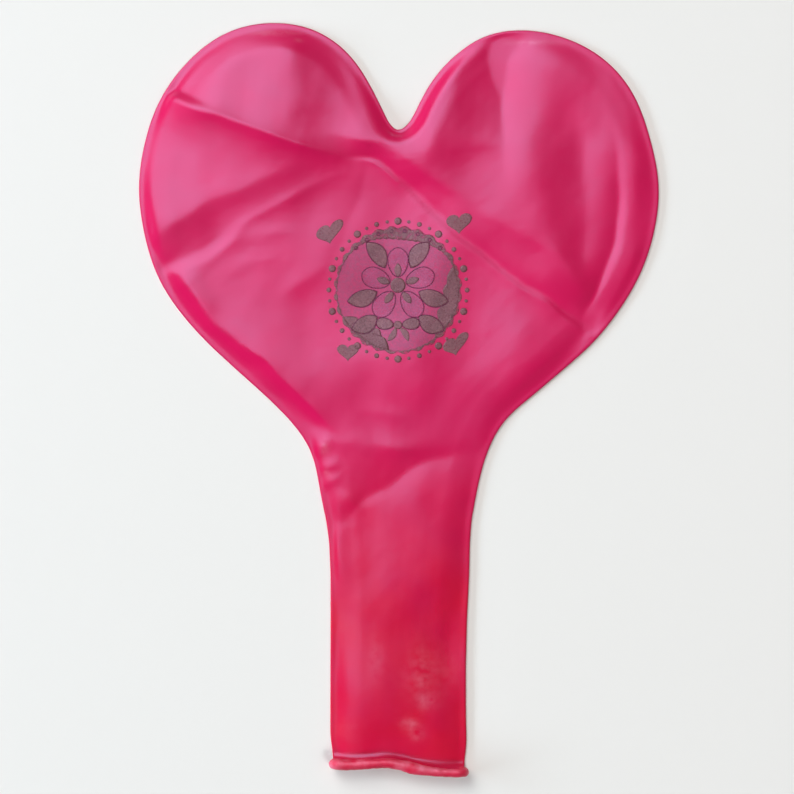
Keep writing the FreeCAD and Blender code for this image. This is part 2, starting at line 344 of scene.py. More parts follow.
# %% [markdown]
# The folds of the heart come first, from the left lobe round to the neck's root, and then the neck's.
# Some broad creases are made of two or three entries on nearly the same line: a wide rise, and a thin
# bright edge or a narrow valley at its foot. Lengths are in mm. An entry's reach, where it has one,
# is how far in from the rim the fold comes to its full height.

# %% Where the folds are
HEART_FOLDS = [
    # the long crease across the left lobe, steep on its lower side, with a sharp crest
    dict(line=[(-58, 67.5), (-50.8, 65.1), (-47.9, 63.4), (-31.4, 57.5), (-20.8, 53.9), (-9, 50.6)],
         height=1.3, left=8.0, right=5.0, crest=0.4, fade=(0.12, 0.25), reach=2.5),
    dict(line=[(-50.8, 65.1), (-47.9, 63.4), (-31.4, 57.5), (-20.8, 53.9), (-9, 50.6)], height=0.8,
         left=26.0, right=5.0, fade=(0.3, 0.3), reach=8.0),
    dict(line=[(-54, 66), (-48.5, 63.6), (-31.4, 57.6), (-20.8, 54.0), (-10, 51.0)], height=0.14,
         left=0.9, right=0.9, crest=0.3, fade=(0.1, 0.2)),
    # the small hollow above its outer end
    dict(line=[(-56, 66.2), (-49.5, 65.6), (-45.1, 64.9), (-38.0, 62.0)], height=-0.75, left=3.2,
         right=1.0, crest=0.4, fade=(0.2, 0.5)),
    # the fold that falls from below it to the left rim, and the thin line at its foot
    dict(line=[(-13, 52.2), (-24.0, 49.0), (-35.6, 44.4), (-46.2, 39.1), (-52.5, 34.9), (-60, 30)],
         height=1.15, left=4.6, right=15.0, crest=1.2, fade=(0.5, 0.12)),
    dict(line=[(-8, 50.2), (-20, 44.4), (-31.4, 38), (-40.3, 29.2), (-49.1, 26.6), (-56, 25)],
         height=0.22, left=1.5, right=1.2, fade=(0.3, 0.12)),
    dict(line=[(-56, 25.5), (-49, 28.0), (-42, 31), (-33, 37.5)], height=-0.45, left=2.4, right=2.5,
         crest=0.8, fade=(0.2, 0.5)),
    # the crown of the left lobe
    dict(line=[(-22.5, 84), (-23.6, 67), (-24.5, 60), (-22, 52)], height=1.3, left=5.5, right=14.0,
         crest=4.0, fade=(0.2, 0.4), reach=6.0),
    # soft ripples between the left rim and the print
    dict(line=[(-42, 28.5), (-33.5, 34.4), (-26, 35.8), (-18.5, 34.0)], height=0.24, left=2.0, right=3.0,
         crest=0.8, fade=(0.4, 0.4)),
    dict(line=[(-43, 24.5), (-31, 29.5), (-20, 30.4)], height=0.2, left=2.5, right=3.5, crest=1.0),
    dict(line=[(-13.5, 30.5), (-21, 25), (-28.5, 18.5)], height=0.24, left=1.6, right=5.0, crest=1.0),
    # the ridge from under the cleft to the right, and its valley: a crease right across the heart
    dict(line=[(-18.5, 56.2), (-13, 56.0), (-8, 55.2), (-2.5, 54.6), (2, 51.5), (6.5, 47.2), (12, 44.6),
         (17.5, 40.2)], height=0.75, left=5.0, right=2.3, crest=0.6, fade=(0.3, 0.3)),
    dict(line=[(7, 47.2), (16, 41.6), (24, 36.4), (33, 31.6), (44.0, 17.0)], height=0.65, left=7.0,
         right=3.6, crest=1.2, fade=(0.4, 0.3)),
    dict(line=[(-14, 50.9), (-11.1, 51.1), (-5.6, 51.3), (-1.4, 49.0), (4.5, 42.3), (11.2, 35.9),
         (19.3, 29.6), (30, 22.2), (40.4, 14.8), (46, 10.5)], height=-0.75, left=2.2, right=10.0,
         crest=0.25, fade=(0.12, 0.1), reach=3.0),
    dict(line=[(-13, 50.4), (-11, 50.7), (-5.8, 50.6), (-2.0, 48.3), (3.9, 41.6), (10.6, 35.2),
         (18.7, 28.9), (29.4, 21.5), (39.8, 14.1), (45, 10.2)], height=0.26, left=0.7, right=1.4,
         crest=0.2, fade=(0.12, 0.1)),
    # the right lobe's deep furrow, steep at its foot, and the ridge before it
    dict(line=[(16.5, 83), (14.6, 77.1), (10.8, 67.6), (7.7, 59.2), (6.2, 51.5), (9.9, 42.4)],
         height=1.9, left=8.5, right=9.0, crest=2.0, fade=(0.2, 0.4)),
    dict(line=[(21.0, 86), (21.3, 79), (21.4, 67.6), (21.8, 57), (22.2, 48.5), (23.2, 40)], height=-1.75,
         left=5.0, right=8.5, crest=0.4, fade=(0.1, 0.8)),
    # the crown of the right lobe, the furrow beside it and the ridge along the right rim
    dict(line=[(29, 70), (28.8, 59.2), (28.1, 50.7), (29.8, 40.2), (34, 29.6), (41.3, 18.2)], height=0.9,
         left=7.0, right=8.0, crest=3.0, fade=(0.4, 0.3)),
    dict(line=[(36, 66), (38.5, 52), (39, 40), (38.5, 28), (38, 20)], height=-0.75, left=3.5, right=7.0,
         crest=1.8, fade=(0.4, 0.3)),
    dict(line=[(44.0, 62), (45.6, 56), (46.4, 45), (46.0, 34.5), (43.4, 27.2), (39.8, 19.8), (37.8, 16)],
         height=-0.7, left=1.5, right=4.5, crest=0.4, fade=(0.5, 0.1), reach=2.5),
    dict(line=[(47.0, 69), (50.3, 50.7), (50.6, 40.2), (49.4, 29.6), (45.9, 21.8), (40.2, 13.3)],
         height=0.2, left=3.0, right=1.6, crest=0.6, fade=(0.4, 0.1), reach=2.5),
    # the shoulder along the lower left rim
    dict(line=[(-48.5, 29.5), (-44.3, 23.6), (-38.4, 15.4), (-28, 8.4), (-18.4, -1.2), (-12.2, -7.8)],
         height=0.95, left=7.0, right=1.25, crest=0.4, fade=(0.12, 0.2)),
    # the plump edge along the lower right rim
    dict(line=[(47, 17), (38, 9), (30, 2), (22, -6), (17, -13)], height=0.5, left=3.0, right=16.0,
         crest=1.0, fade=(0.3, 0.3), reach=4.0),
    # slack film above the neck
    dict(line=[(-9, -1.4), (-2.3, -3.2), (4.5, -3.6)], height=0.16, left=2.0, right=1.4, crest=0.6),
    dict(line=[(-6, -8.6), (0, -10.5), (7, -11.0)], height=0.14, left=1.6, right=1.4),
    dict(line=[(-22, -6.4), (-14, -8.4), (-4, -9.6), (6, -10.0), (18.5, -9.0)], height=0.45, left=6.0,
         right=3.4, crest=1.0, fade=(0.3, 0.5)),
    dict(line=[(-18.5, -28.5), (-12.5, -25.5), (-6.1, -20.2), (5.3, -12.6), (14.2, -10.9), (20, -10.2)],
         height=-0.55, left=4.6, right=3.0, fade=(0.35, 0.3)),
    dict(line=[(-13.5, -18.4), (-11.5, -20), (-8.2, -22.6), (-6, -24.5)], height=0.3, left=1.4,
         right=1.8, crest=0.6),
    dict(line=[(-13.5, -7.6), (-16.5, -10.2), (-19.0, -12.6)], height=0.45, left=1.2, right=1.6,
         crest=0.3, fade=(0.5, 0.3)),
    dict(line=[(-12.0, -12.4), (-15.5, -14.4), (-18.2, -15.2)], height=0.35, left=1.0, right=1.2,
         crest=0.3, fade=(0.5, 0.3)),
    dict(line=[(-11.5, -15.2), (-15, -17.6), (-17.5, -18.6)], height=0.3, left=0.9, right=1.2, crest=0.3,
         fade=(0.5, 0.3)),
]
NECK_FOLDS = [
    # the neck's soft crown along its left side: the rest leans away to the right
    dict(line=[(-9.5, -14), (-9.5, -26), (-9.0, -45), (-8.5, -62), (-9, -86)], height=0.2, left=11.0,
         right=6.5, crest=3.0, fade=(0.3, 0.15)),
    dict(line=[(5, -54), (6.0, -66), (6.5, -84)], height=0.3, left=5.0, right=12.0, crest=2.0,
         fade=(0.5, 0.1)),
    dict(line=[(-12.6, -16), (-12.6, -24), (-12.6, -30), (-13.0, -44)], height=0.3, left=2.6, right=1.0,
         fade=(0.3, 0.4)),
    dict(line=[(-11.6, -37), (-11.0, -42), (-10.4, -53)], height=-0.2, left=2.0, right=1.6, crest=0.8),
    dict(line=[(4.0, -44), (4.6, -56), (3.4, -67)], height=0.16, left=4.0, right=5.0, crest=1.6),
]
print("folds:", len(HEART_FOLDS), "in the heart,", len(NECK_FOLDS), "in the neck")

# %% [markdown]
# The height of the front wall is its rim profile plus the folds. From the outside in, the rim is a
# small round bead where the film doubles back, then a shallow furrow, then a rise to the pouch. Near
# the mouth the whole neck lifts to the middle of the lip.

# %% Height of the film
RIM_BEAD = 0.36             # radius of the doubled edge
RIM_HEIGHT = 0.27           # the edge's own middle above the table
FURROW = 0.02               # how far the film dips inside the edge
POUCH_HEIGHT = 0.95
RISE = 6.0                  # how far in the pouch reaches its height
SLACK = 0.2                 # how much higher the film lies far from the rim
NECK_CROWN = 0.25           # the rise just above the neck, from where the film falls to the mouth
NECK_LEAN = 0.3             # the neck's slope: 1.25 of this at its left side, down to -0.75 at its right
LEAST_HEIGHT = 0.35         # the film never lies lower than this inside the edge
KNEE = 0.02                 # how softly it comes down to that, mm squared
LIP_SPREAD = 0.5            # how far each wall ends from the middle of the lip
LIP_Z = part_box("rolled_bead")[1].z / MM / 2
LIFT_FROM, LIFT_TO = -76.2, -77.85


def lift(y):
    """How far the neck has lifted to the lip, from 0 to 1: it goes up steeply, just behind the lip."""
    return ease((LIFT_FROM - y) / (LIFT_FROM - LIFT_TO))


def fold_sum(x, y, depth):
    """All folds together, and soft unevenness of three sizes.

    The folds' lines wander by a fraction of a millimetre. Each fold dies away over its reach to the
    rim, where the two walls are joined: a wide one slowly and a fine one just inside the edge.
    """
    total = 0.17 * waves(x, y, 25.0, 3) * ease((depth - 0.3) / 4.0)
    total += (0.018 * waves(x, y, 9.0, 5) + 0.003 * waves(x, y, 2.6, 8)) * ease((depth - 0.3) / 1.6)
    wander_x = x + 0.16 * waves(x, y, 12.0, 31)
    wander_y = y + 0.16 * waves(x, y, 12.0, 32)
    for item in HEART_FOLDS + NECK_FOLDS:
        reach = item.get("reach", min(max((item["left"] + item["right"]) / 4, 1.6), 3.0))
        shape = {key: value for key, value in item.items() if key != "reach"}
        total = total + fold(wander_x, wander_y, **shape) * ease((depth - 0.3) / reach)
    return total


def front_height(x, y, depth):
    """Height of the front wall over a point at a depth from the rim."""
    edge = RIM_HEIGHT + RIM_HEIGHT * np.sqrt(1.0 - np.clip(1.0 - depth / RIM_BEAD, 0.0, 1.0) ** 2)
    dip = FURROW * ease((depth - RIM_BEAD) / 0.7) * (1.0 - ease((depth - 1.3) / 1.2))
    rise = (POUCH_HEIGHT - 2 * RIM_HEIGHT) * ease((depth - 0.9) / RISE)
    slack = SLACK * ease((depth - 2.5) / 10.0)
    crown = NECK_CROWN * ease((20.0 - y) / 26.0) * np.clip((y + 77.0) / 70.0, 0.0, 1.0)
    crown = crown * ease((depth - 1.0) / 12.0)
    across = np.clip((x + 14.5) / 29.0, 0.0, 1.0)
    lean = NECK_LEAN * (1.25 - across - across ** 2) * ease((-20.0 - y) / 30.0)
    lean = lean * ease((depth - 0.4) / 3.6)
    puff = edge - dip + rise + slack + crown + lean + fold_sum(x, y, depth)
    least = LEAST_HEIGHT * ease(depth / RIM_BEAD) + RIM_HEIGHT * (1 - ease(depth / RIM_BEAD))
    puff = (puff + least + np.sqrt((puff - least) ** 2 + KNEE * ease(depth))) / 2
    up = lift(y)
    return puff * (1 - up) + (LIP_Z + LIP_SPREAD * ease(depth / 2.0)) * up


def back_height(x, y, depth):
    """Height of the back wall: round under the doubled edge, then flat on the table."""
    edge = RIM_HEIGHT - RIM_HEIGHT * np.sqrt(1.0 - np.clip(1.0 - depth / RIM_BEAD, 0.0, 1.0) ** 2)
    up = lift(y)
    return edge * (1 - up) + (LIP_Z - LIP_SPREAD * ease(depth / 2.0)) * up


LIP_LINE = [(-15.5, -76.55), (-14.0, -76.6), (-10.3, -76.75), (-6.0, -76.5), (-2.9, -76.15), (0.3, -76.7),
            (3.4, -77.5), (7.6, -78.15), (11.9, -78.45), (14.0, -78.3), (15.5, -78.2)]
LIP_CURVE = soften(np.array(LIP_LINE), 0.2, 0.9)


def lip_line(x):
    """The y of the lip's own line: it tilts down to the right and has one slow wave."""
    return np.interp(x, LIP_CURVE[:, 0], LIP_CURVE[:, 1])


def to_mouth(points):
    """Bends the neck's last rows so that they end along the lip's line."""
    x, y = points[..., 0], points[..., 1]
    bent = points.copy()
    bent[..., 1] = y + (lip_line(x) - MOUTH_Y) * ease((-55.0 - y) / (-55.0 - MOUTH_Y))
    return bent


def solid_points(points, heights):
    """Plan points (x, y) with their heights as z."""
    return np.concatenate([points, heights[..., None]], axis=-1)


def sheet(points, depth, height):
    """A wall of the film: its grid ended along the lip's line, with the given height."""
    return solid_points(to_mouth(points), height(points[..., 0], points[..., 1], depth))


front = sheet(front_points, front_depth, front_height)
back = sheet(back_points, back_depth, back_height)
print("film height in mm:", round(front[..., 2].min(), 2), "to", round(front[..., 2].max(), 2))

# %% [markdown]
# A few helpers turn arrays into meshes. Each piece prints its triangles and its open edges, which
# have to be none: a closed skin has a face on both sides of every edge.

# %% Mesh tools
def grid_faces(rows, columns, start=0, wrap_rows=False, wrap_columns=False):
    """Four-sided faces between neighbouring points of a grid."""
    ids = start + np.arange(rows * columns).reshape(rows, columns)
    if wrap_rows:
        ids = np.concatenate([ids, ids[:1]])
    if wrap_columns:
        ids = np.concatenate([ids, ids[:, :1]], axis=1)
    corners = (ids[:-1, :-1], ids[1:, :-1], ids[1:, 1:], ids[:-1, 1:])
    return np.stack([c.ravel() for c in corners], axis=1)


def make_piece(name, points, faces, weld=0.0):
    """An object at the origin from points in mm and faces; points closer than weld mm become one."""
    mesh = bpy.data.meshes.new(name)
    mesh.from_pydata((np.asarray(points) * MM).tolist(), [], [list(map(int, f)) for f in faces])
    if weld:
        work = bmesh.new()
        work.from_mesh(mesh)
        bmesh.ops.remove_doubles(work, verts=work.verts, dist=weld * MM)
        work.to_mesh(mesh)
        work.free()
    mesh.shade_smooth()
    piece = bpy.data.objects.new(name, mesh)
    bpy.context.scene.collection.objects.link(piece)
    open_edges = count_open_edges(mesh)
    print(name, "triangles:", sum(len(p.vertices) - 2 for p in mesh.polygons), "open edges:", open_edges)
    return piece


def count_open_edges(mesh):
    """Edges that don't have a face on both sides."""
    ends = np.zeros(len(mesh.loops), np.int32)
    mesh.loops.foreach_get("edge_index", ends)
    return int((np.bincount(ends, minlength=len(mesh.edges)) != 2).sum())


# %% [markdown]
# The two sheets become one closed skin. They share the rim, and at the mouth a short pocket turns
# back inside, so that the neck ends in an opening and not in a flat wall.

# %% The film
POCKET_DEPTH, POCKET_DROP = 0.5, 0.45
MOUTH_GAP = 0.08            # half the height of the opening


def mouth_pocket(front_row, back_row):
    """Rows from the front wall's edge into the neck and back out to the back wall's edge."""
    across = np.linspace(-1.0, 1.0, len(front_row))
    gap = MOUTH_GAP * ease((1 - np.abs(across)) / 0.15)
    middle = (front_row + back_row) / 2
    inner = middle * np.array([0.99, 1.0, 1.0])
    up, deep = np.array([0.0, 0.0, 1.0]), np.array([0.0, POCKET_DEPTH, -POCKET_DROP])
    return np.stack([inner + up * gap[:, None], inner + up * gap[:, None] + deep,
                     inner - up * gap[:, None] + deep, inner - up * gap[:, None]])


def film_piece():
    """Front sheet, back sheet and pocket in one mesh.

    The back sheet has fewer columns, so its last row is taken at the front sheet's columns and joined
    to the row before it by many-sided faces.
    """
    rows, columns = front.shape[:2]
    few = back.shape[1]
    points = [front.reshape(-1, 3), back[:-1].reshape(-1, 3)]
    faces = [grid_faces(rows, columns)]
    back_start = rows * columns
    faces.append(grid_faces(rows - 1, few, back_start)[:, ::-1])
    end_x, end_y = front_points[-1, :, 0], front_points[-1, :, 1]
    edge = solid_points(to_mouth(front_points)[-1], back_height(end_x, end_y, front_depth[-1]))
    edge_start = back_start + (rows - 1) * few
    points.append(edge)
    few_x, many_x = back[-1, :, 0], edge[:, 0]
    at = np.array([int(np.argmin(np.abs(many_x - v))) for v in few_x])
    above = edge_start - few
    comb = []
    for k in range(few - 1):
        run = [edge_start + j for j in range(at[k], at[k + 1] + 1)]
        comb.append([above + k + 1] + run[::-1] + [above + k])
    pocket = mouth_pocket(front[-1], edge)
    pocket_start = edge_start + columns
    points.append(pocket.reshape(-1, 3))
    order = np.concatenate([np.arange((rows - 1) * columns, rows * columns)[None],
                            pocket_start + np.arange(4 * columns).reshape(4, columns),
                            edge_start + np.arange(columns)[None]])
    corners = (order[:-1, :-1], order[1:, :-1], order[1:, 1:], order[:-1, 1:])
    faces.append(np.stack([c.ravel() for c in corners], axis=1))
    every = [list(f) for block in faces for f in block] + comb
    return make_piece("latex_film", np.concatenate(points), every, weld=0.001)


film = film_piece()


# %% [markdown]
# The lip is the film rolled down on itself into a soft ring. Pressed flat with the neck, the ring
# lies as two strands, one on the other. It is a section carried round a long flat loop, and it is
# lumpy, because the roll was made by a brush and is thicker where it overlaps.

# %% The rolled lip
LIP_ROWS, LIP_COLUMNS = 360, 28
STRAND_GAP = 1.35           # half the distance between the two strands' middles
LIP_HALF = 12.4             # half the straight length of a strand
LIP_THICKNESS = [(-15.0, 1.0), (-12.0, 1.12), (-6.0, 1.08), (-1.9, 1.02), (0.6, 1.15), (2.2, 1.38),
                 (4.4, 1.15), (6.4, 0.98), (10.4, 0.86), (13.0, 0.9), (15.0, 1.02)]


def lip_loop(share):
    """The loop's middle line and outward arrow, by share of length: two straights and two half circles."""
    straight, bend = 2 * LIP_HALF, math.pi * STRAND_GAP
    way = share * 2 * (straight + bend)
    first = way < straight + bend
    way = np.where(first, way, way - straight - bend)
    turn = np.clip((way - straight) / STRAND_GAP, 0.0, math.pi)
    x = -LIP_HALF + np.minimum(way, straight) + STRAND_GAP * np.sin(turn)
    flip = np.where(first, 1.0, -1.0)
    middle = np.stack([x * flip, lip_line(x * flip), LIP_Z + flip * STRAND_GAP * np.cos(turn)], axis=-1)
    outward = np.stack([np.sin(turn) * flip, np.zeros(len(x)), np.cos(turn) * flip], axis=-1)
    return middle, outward


def lip_piece():
    """A lumpy round carried along the loop: middle + radius · (cos · outward + sin · along the neck)."""
    share = np.linspace(0.0, 1.0, LIP_ROWS, endpoint=False)
    around = np.linspace(0.0, 2 * np.pi, LIP_COLUMNS, endpoint=False)
    middle, outward = lip_loop(share)
    x = middle[:, :1]
    stations, sizes = np.array(LIP_THICKNESS).T
    radius = np.interp(x, stations, sizes) * np.ones((1, LIP_COLUMNS))
    top = (middle[:, 2:] > LIP_Z) * 1.0
    radius = radius * top + 1.0 * (1 - top) * np.ones_like(radius)
    sway = waves(x * np.ones_like(radius), 1.6 * np.sin(around)[None] + 9 * (1 - top), 5.0, 21)
    fine = waves(x * np.ones_like(radius) + around[None], 2.5 * np.cos(around)[None] + 9 * (1 - top), 1.6, 22)
    rolls = np.cos(3 * around[None] + 0.35 * x)
    radius = radius * (1 + 0.045 * sway + 0.02 * fine + 0.012 * rolls)
    up = np.minimum(radius, 1.05)[..., None] * np.cos(around)[None, :, None] * outward[:, None]
    side = radius[..., None] * np.sin(around)[None, :, None] * np.array([0.0, 1.0, 0.0])
    points = middle[:, None] + up + side
    points[..., 2] = np.clip(points[..., 2], 0.0, None)
    faces = grid_faces(LIP_ROWS, LIP_COLUMNS, wrap_rows=True, wrap_columns=True)
    return make_piece("rolled_lip", points.reshape(-1, 3), faces[:, ::-1])


lip = lip_piece()

# %% [markdown]
# The print is a film of ink a few hundredths of a millimetre thick that goes over every fold. Each
# part of it is a thin closed slab laid on the film's own height, so it bends with the folds and
# its edge is crisp.

# %% Ink tools
INK = 0.05                  # how far the ink's top is above the film
SUNK = 0.03                 # how far its underside is below the film, so that no gap shows
disc_low, disc_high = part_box("print_tint_disc")
PRINT_MIDDLE = np.array([(a + b) / 2 / MM for a, b in zip(disc_low, disc_high)])[:2]
DEEP = 50.0                 # a depth from the rim where the rim no longer matters


def on_film(plan, above):
    """Points over plan points, above mm over the film's front wall."""
    height = front_height(plan[..., 0], plan[..., 1], np.full(plan.shape[:-1], DEEP))
    return solid_points(plan, height + above)


def slab_parts(plan, top):
    """A closed slab over a plan grid (rows, columns, 2) whose columns close on themselves."""
    rows, columns = plan.shape[:2]
    points = np.concatenate([on_film(plan, top), on_film(plan[::-1], -SUNK)])
    return points.reshape(-1, 3), grid_faces(2 * rows, columns, wrap_columns=True)


def join_parts(parts):
    """Several (points, faces) made one."""
    starts = np.cumsum([0] + [len(p) for p, _ in parts[:-1]])
    points = np.concatenate([p for p, _ in parts])
    return points, np.concatenate([f + s for (_, f), s in zip(parts, starts)])


def patch(border, rings=6, top=INK, middle=None):
    """A filled shape: its border drawn in to its middle in even rings. The border runs anticlockwise."""
    middle = border.mean(0) if middle is None else np.array(middle)
    shares = np.linspace(0.0, 1.0, rings + 1)[:, None, None]
    return slab_parts(middle + (border[None] - middle) * shares, top)


def band(inner, outer, rings=3, top=INK):
    """A closed band between two borders with the same number of points."""
    shares = np.linspace(0.0, 1.0, rings + 1)[:, None, None]
    plan = inner[None] * (1 - shares) + outer[None] * shares
    rows, columns = plan.shape[:2]
    points = np.concatenate([on_film(plan, top), on_film(plan[::-1], -SUNK)])
    return points.reshape(-1, 3), grid_faces(2 * rows, columns, wrap_rows=True, wrap_columns=True)


def stroke(path, width, top=INK, closed=False):
    """A drawn line: width mm at its middle, thinner at its ends unless it closes on itself."""
    ahead = np.gradient(path, axis=0)
    if closed:
        ahead = np.roll(path, -1, axis=0) - np.roll(path, 1, axis=0)
    ahead /= np.maximum(np.hypot(*ahead.T)[:, None], 1e-9)
    across = np.stack([-ahead[:, 1], ahead[:, 0]], axis=1)
    share = np.linspace(0.0, 1.0, len(path))[:, None]
    half = width / 2 * (np.ones_like(share) if closed else 0.25 + 0.75 * np.sin(np.pi * share) ** 0.5)
    ring = [(-1, top), (0, top), (1, top), (1, -SUNK), (-1, -SUNK)]
    points = np.stack([on_film(path + across * half * side, lift_by) for side, lift_by in ring], axis=1)
    faces = grid_faces(len(path), len(ring), wrap_rows=closed, wrap_columns=True)[:, ::-1]
    parts = (points.reshape(-1, 3), faces)
    if closed:
        return parts
    last = (len(path) - 1) * len(ring)
    caps = np.array([[0, 1, 3, 4], [1, 2, 3, 3], [last + 4, last + 3, last + 1, last],
                     [last + 3, last + 3, last + 2, last + 1]])
    return parts[0], np.concatenate([faces, caps])


def ink_piece(name, parts, *nodes, slot="ink"):
    """One piece of ink from its parts, on the heart, in place of the given nodes of the model."""
    points, faces = join_parts(parts)
    clean = [list(dict.fromkeys(map(int, f))) for f in faces]
    piece = make_piece(name, points, clean, weld=0.00005)
    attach(piece, "heart")
    if nodes:
        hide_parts(*nodes)
    return piece


# %% [markdown]
# The design is drawn from a few borders: a petal, a pointed leaf and a heart. Each is a closed curve
# given by one formula, turned and moved to its place.

# %% Borders
def circle(radius, count=96):
    """radius · (cos, sin), once round."""
    turn = np.linspace(0.0, 2 * np.pi, count, endpoint=False)
    return radius * np.stack([np.cos(turn), np.sin(turn)], axis=1)


def petal(length, width, count=64):
    """An egg from (0, 0) to (length, 0), widest past its middle, with a faint point at its tip."""
    turn = np.linspace(0.0, 2 * np.pi, count, endpoint=False)
    x = (1 - np.cos(turn)) / 2
    y = -np.sin(turn) * (0.78 + 0.3 * x) * (1 - 0.16 * np.exp(-((x - 1) / 0.12) ** 2))
    return np.stack([length * x, width / 2 * y], axis=1)


def leaf(length, width, curl=0.0, count=64):
    """Pointed at both ends: the half width goes with sin², and the middle bows sideways by curl."""
    turn = np.linspace(0.0, 2 * np.pi, count, endpoint=False)
    x = (1 - np.cos(turn)) / 2
    y = -np.sign(np.sin(turn)) * np.abs(np.sin(turn)) ** 1.6 * width / 2 + curl * 4 * x * (1 - x)
    return np.stack([length * x, y], axis=1)


def heart(size, count=96):
    """The classic heart: x = 16 sin³, y = 13 cos - 5 cos 2t - 2 cos 3t - cos 4t, made size mm wide."""
    turn = -np.linspace(0.0, 2 * np.pi, count, endpoint=False)
    x = 16 * np.sin(turn) ** 3
    y = 13 * np.cos(turn) - 5 * np.cos(2 * turn) - 2 * np.cos(3 * turn) - np.cos(4 * turn)
    return np.stack([x, y + 2.5], axis=1) * size / 32


def put(border, x=0.0, y=0.0, turn=0.0, out=0.0):
    """A border moved out along +x, turned by degrees, moved to x, y and then to the print's middle."""
    c, s = math.cos(math.radians(turn)), math.sin(math.radians(turn))
    shifted = border + np.array([out, 0.0])
    return shifted @ np.array([[c, s], [-s, c]]) + np.array([x, y]) + PRINT_MIDDLE


# %% [markdown]
# A round tint lies under everything, with a scalloped frame round it that swells at the top and at
# two places lower down, and a ring of dots outside. Small rings along the upper frame are eyelets.

# %% The frame of the print
TINT_RADIUS, LACE_INNER, LACE_OUTER, LACE_SCALLOP, LACE_LOBES = 13.2, 11.6, 13.1, 0.7, 28
PEARL_RING, PEARL_COUNT, PEARL_SIZES = 14.6, 40, (0.78, 0.36, 0.52, 0.36)

turn = np.linspace(0.0, 2 * np.pi, 448, endpoint=False)
arrow = np.stack([np.cos(turn), np.sin(turn)], axis=1)


def swell(middle, spread):
    """A bell over bearings: 1 at middle degrees, falling off over spread degrees."""
    apart = (np.degrees(turn) - middle + 180.0) % 360.0 - 180.0
    return np.exp(-(apart / spread) ** 2)


thick = 2.2 * swell(84, 38) + 0.5 * swell(-28, 26) + 0.4 * swell(234, 20)
lace_in = LACE_INNER + 1.35 - thick - 0.18 * np.abs(np.cos(LACE_LOBES * turn))
lace_in = lace_in[:, None] * arrow + PRINT_MIDDLE
lace_out = LACE_OUTER - 0.2 + LACE_SCALLOP * np.abs(np.sin(LACE_LOBES / 2 * turn))
lace_out = lace_out[:, None] * arrow + PRINT_MIDDLE
tint = ink_piece("tint_disc", [patch(put(circle(TINT_RADIUS, 160)), rings=44, top=0.02)], "print_tint_disc",
                 slot="tint_ink")
lace = ink_piece("lace_frame", [band(lace_in, lace_out, rings=6, top=0.042)], "print_lace_frame")

bearings = np.arange(LACE_LOBES) * 360 / LACE_LOBES + 180 / LACE_LOBES
eyelet_rings = [put(circle(0.34, 14), out=12.55, turn=b) for b in bearings if 35 < b < 140]
eyelets = ink_piece("lace_eyelets", [stroke(r, 0.16, 0.075, closed=True) for r in eyelet_rings])
dots = [put(circle(PEARL_SIZES[k % 4], 18), out=PEARL_RING, turn=90 + 360 * k / PEARL_COUNT)
        for k in range(PEARL_COUNT)]
pearls = ink_piece("pearl_ring", [patch(dot, rings=2) for dot in dots], "print_pearl_ring")

# %% [markdown]
# Four small hearts stand outside the ring. Each leans, which is a shear of its border and not a turn:
# x grows with y, as in slanted lettering.

# %% The corner hearts
CORNER_HEARTS = {"upper_left": (-14.4, 11.9, 5.3, 28), "upper_right": (12.9, 13.9, 5.0, 8),
                 "lower_left": (-10.6, -13.3, 4.2, 0), "lower_right": (12.2, -11.8, 5.0, 30)}
heart_pieces = []
for corner, (x, y, size, lean) in CORNER_HEARTS.items():
    slant = np.array([[1.08, 0.9 * math.tan(math.radians(lean))], [0.0, 0.94]])
    border = put(heart(size) @ slant, x, y)
    heart_pieces.append(ink_piece("corner_heart_" + corner, [patch(border, rings=12)],
                                  "print_heart_" + corner))

# %% [markdown]
# The middle is a five-petalled flower with leaves and a bow below it. Parts meant to lie over others
# are slightly higher, so that the upper one is seen.

# %% The flower, leaves and bow
PETALS = [90 + 72 * k for k in range(5)]
LEAVES = [54, 126, 198, 342]
petal_borders = [put(petal(6.2, 4.6), 0, 1.0, b, out=1.8) for b in PETALS]
LEAF_CURLS = (0.5, -0.5, 0.4, -0.4)
leaf_borders = [put(leaf(6.6, 3.5, c), 0, 1.0, b, out=4.6) for b, c in zip(LEAVES, LEAF_CURLS)]
low_leaves = [put(leaf(6.0, 3.6, -0.4 * side), side * 4.4, -5.6, 90 - side * 118) for side in (-1, 1)]
loops = [put(petal(3.8, 2.6), side * 0.9, -7.4, 90 - side * 82) for side in (-1, 1)]
tails = [put(leaf(3.4, 1.3, 0.3), side * 0.4, -7.9, -90 + side * 32) for side in (-1, 1)]

petals = ink_piece("flower_petals", [patch(b, rings=10, top=0.035) for b in petal_borders],
                   "print_flower_petals", slot="tint_ink")
shades = ink_piece("petal_shades", [patch(put(leaf(3.0, 1.5), 0, 1.0, b, out=1.7), rings=4, top=0.05)
                                    for b in PETALS])
centre = ink_piece("flower_centre", [patch(put(circle(1.6, 40), 0, 1.0), rings=5, top=0.058)],
                   "print_flower_centre")
leaves = ink_piece("leaves", [patch(b, rings=8) for b in leaf_borders + low_leaves], "print_leaves")
bow = ink_piece("ribbon_bow", [patch(b, rings=6, top=0.048) for b in loops + tails]
                + [patch(put(circle(0.9, 24), 0, -7.4), rings=3, top=0.06)], "print_ribbon_bow")


